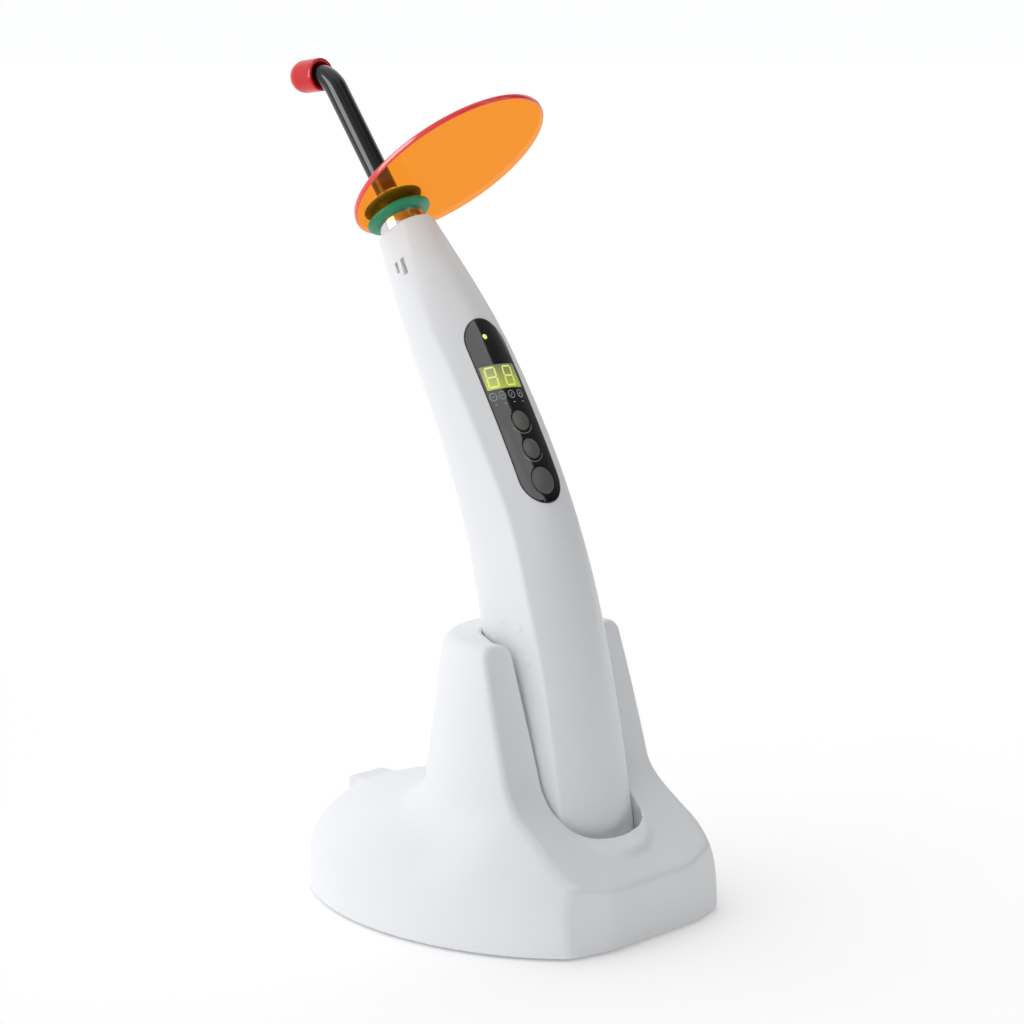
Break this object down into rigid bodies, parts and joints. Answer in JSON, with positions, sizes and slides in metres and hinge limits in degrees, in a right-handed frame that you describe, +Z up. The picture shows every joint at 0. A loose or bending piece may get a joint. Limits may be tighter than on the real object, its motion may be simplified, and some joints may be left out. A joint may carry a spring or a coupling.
{
  "type": "dental curing light",
  "caption": "Cordless pen-shaped light-curing handpiece with bent light guide, orange eye shield and button panel, standing in a weighted charging cradle",
  "frame": {"origin": "on the table plane below the middle of the cradle", "axes": "+Z up, +X towards the display side, XZ is the plane of symmetry of the cradle and handle"},
  "size_m": [0.1746, 0.1224, 0.2888],
  "materials": {
    "base_housing": "white satin gloss moulded ABS",
    "base_cover": "plain moulded",
    "rubber_feet": "soft matt",
    "cover_screws": "zinc plated",
    "ballast_plate": "plain",
    "charging_board": "solder mask",
    "charging_parts": "moulded packages",
    "pin_guide": "moulded",
    "contact_spring_left": "spring wire",
    "contact_spring_right": "spring wire",
    "power_jack": "moulded",
    "jack_leads": "insulated wire",
    "handle_front_shell": "white satin gloss moulded ABS",
    "handle_rear_shell": "white satin gloss moulded ABS",
    "air_slot_inserts": "grey beige",
    "control_panel": "polished black",
    "display_window": "tinted",
    "display_module": "potted digits",
    "power_indicator": "diffusing lens",
    "mode_indicators": "diffusing lens",
    "main_board": "solder mask",
    "tactile_switches": "moulded",
    "board_chips": "moulded packages",
    "buzzer": "moulded",
    "battery_cell": "sleeved",
    "battery_clips": "nickel plated",
    "charge_terminals": "gold plated",
    "nose_bush": "turned",
    "collimator_lens": "polished",
    "led_emitter": "phosphor dome on a board",
    "heat_sink": "turned fins",
    "shell_screws": "zinc plated",
    "emitter_leads": "insulated wire",
    "battery_leads": "insulated wire",
    "mode_button": "satin domed",
    "time_button": "satin domed",
    "power_button": "satin domed",
    "retainer_ring": "soft",
    "guide_ferrule": "polished",
    "guide_sheath": "polished black glass sheath",
    "guide_core": "fused fibre",
    "eye_shield": "transparent orange",
    "shield_grommet": "green satin",
    "tip_cap": "glossy red",
    "contact_pin_left": "gold plated",
    "contact_pin_right": "gold plated"
  },
  "bodies": {
    "base": {"base_housing": "base_housing", "base_cover": "base_cover", "rubber_feet": "rubber_feet", "cover_screws": "cover_screws", "ballast_plate": "ballast_plate", "charging_board": "charging_board", "charging_parts": "charging_parts", "pin_guide": "pin_guide", "contact_spring_left": "contact_spring_left", "contact_spring_right": "contact_spring_right", "power_jack": "power_jack", "jack_leads": "jack_leads"},
    "handpiece": {"handle_front_shell": "handle_front_shell", "handle_rear_shell": "handle_rear_shell", "air_slot_inserts": "air_slot_inserts", "control_panel": "control_panel", "display_window": "display_window", "display_module": "display_module", "power_indicator": "power_indicator", "mode_indicators": "mode_indicators", "main_board": "main_board", "tactile_switches": "tactile_switches", "board_chips": "board_chips", "buzzer": "buzzer", "battery_cell": "battery_cell", "battery_clips": "battery_clips", "charge_terminals": "charge_terminals", "nose_bush": "nose_bush", "collimator_lens": "collimator_lens", "led_emitter": "led_emitter", "heat_sink": "heat_sink", "shell_screws": "shell_screws", "emitter_leads": "emitter_leads", "battery_leads": "battery_leads"},
    "mode_key": {"mode_button": "mode_button"},
    "time_key": {"time_button": "time_button"},
    "power_key": {"power_button": "power_button"},
    "guide_retainer": {"retainer_ring": "retainer_ring"},
    "light_guide": {"guide_ferrule": "guide_ferrule", "guide_sheath": "guide_sheath", "guide_core": "guide_core"},
    "shield": {"eye_shield": "eye_shield", "shield_grommet": "shield_grommet"},
    "cap": {"tip_cap": "tip_cap"},
    "pin_left": {"contact_pin_left": "contact_pin_left"},
    "pin_right": {"contact_pin_right": "contact_pin_right"}
  },
  "joints": [
    {"name": "handpiece_lift", "type": "slide", "parent": "base", "child": "handpiece", "axis": [-0.2079, 0, 0.9781], "range_m": [0, 0.09]},
    {"name": "mode_press", "type": "slide", "parent": "handpiece", "child": "mode_key", "axis": [-0.871, 0, -0.4914], "range_m": [0, 0.0006]},
    {"name": "time_press", "type": "slide", "parent": "handpiece", "child": "time_key", "axis": [-0.8819, 0, -0.4715], "range_m": [0, 0.0006]},
    {"name": "power_press", "type": "slide", "parent": "handpiece", "child": "power_key", "axis": [-0.8936, 0, -0.4489], "range_m": [0, 0.0006]},
    {"name": "guide_pull", "type": "slide", "parent": "handpiece", "child": "guide_retainer", "axis": [-0.5891, 0, 0.8081], "range_m": [0, 0.016]},
    {"name": "guide_rotate", "type": "hinge", "parent": "guide_retainer", "child": "light_guide", "pos_m": [-0.05035, 0, 0.22849], "axis": [-0.5891, 0, 0.8081], "continuous": true},
    {"name": "shield_rotate", "type": "hinge", "parent": "light_guide", "child": "shield", "pos_m": [-0.05035, 0, 0.22849], "axis": [-0.5891, 0, 0.8081], "continuous": true},
    {"name": "cap_pull", "type": "slide", "parent": "light_guide", "child": "cap", "axis": [-0.9944, 0, -0.1061], "range_m": [0, 0.012]},
    {"name": "pin_left_press", "type": "slide", "parent": "base", "child": "pin_left", "axis": [0, 0, 1], "range_m": [-0.0012, 0], "deforming": ["contact_spring_left"]},
    {"name": "pin_right_press", "type": "slide", "parent": "base", "child": "pin_right", "axis": [0, 0, 1], "range_m": [-0.0012, 0], "deforming": ["contact_spring_right"]}
  ]
}
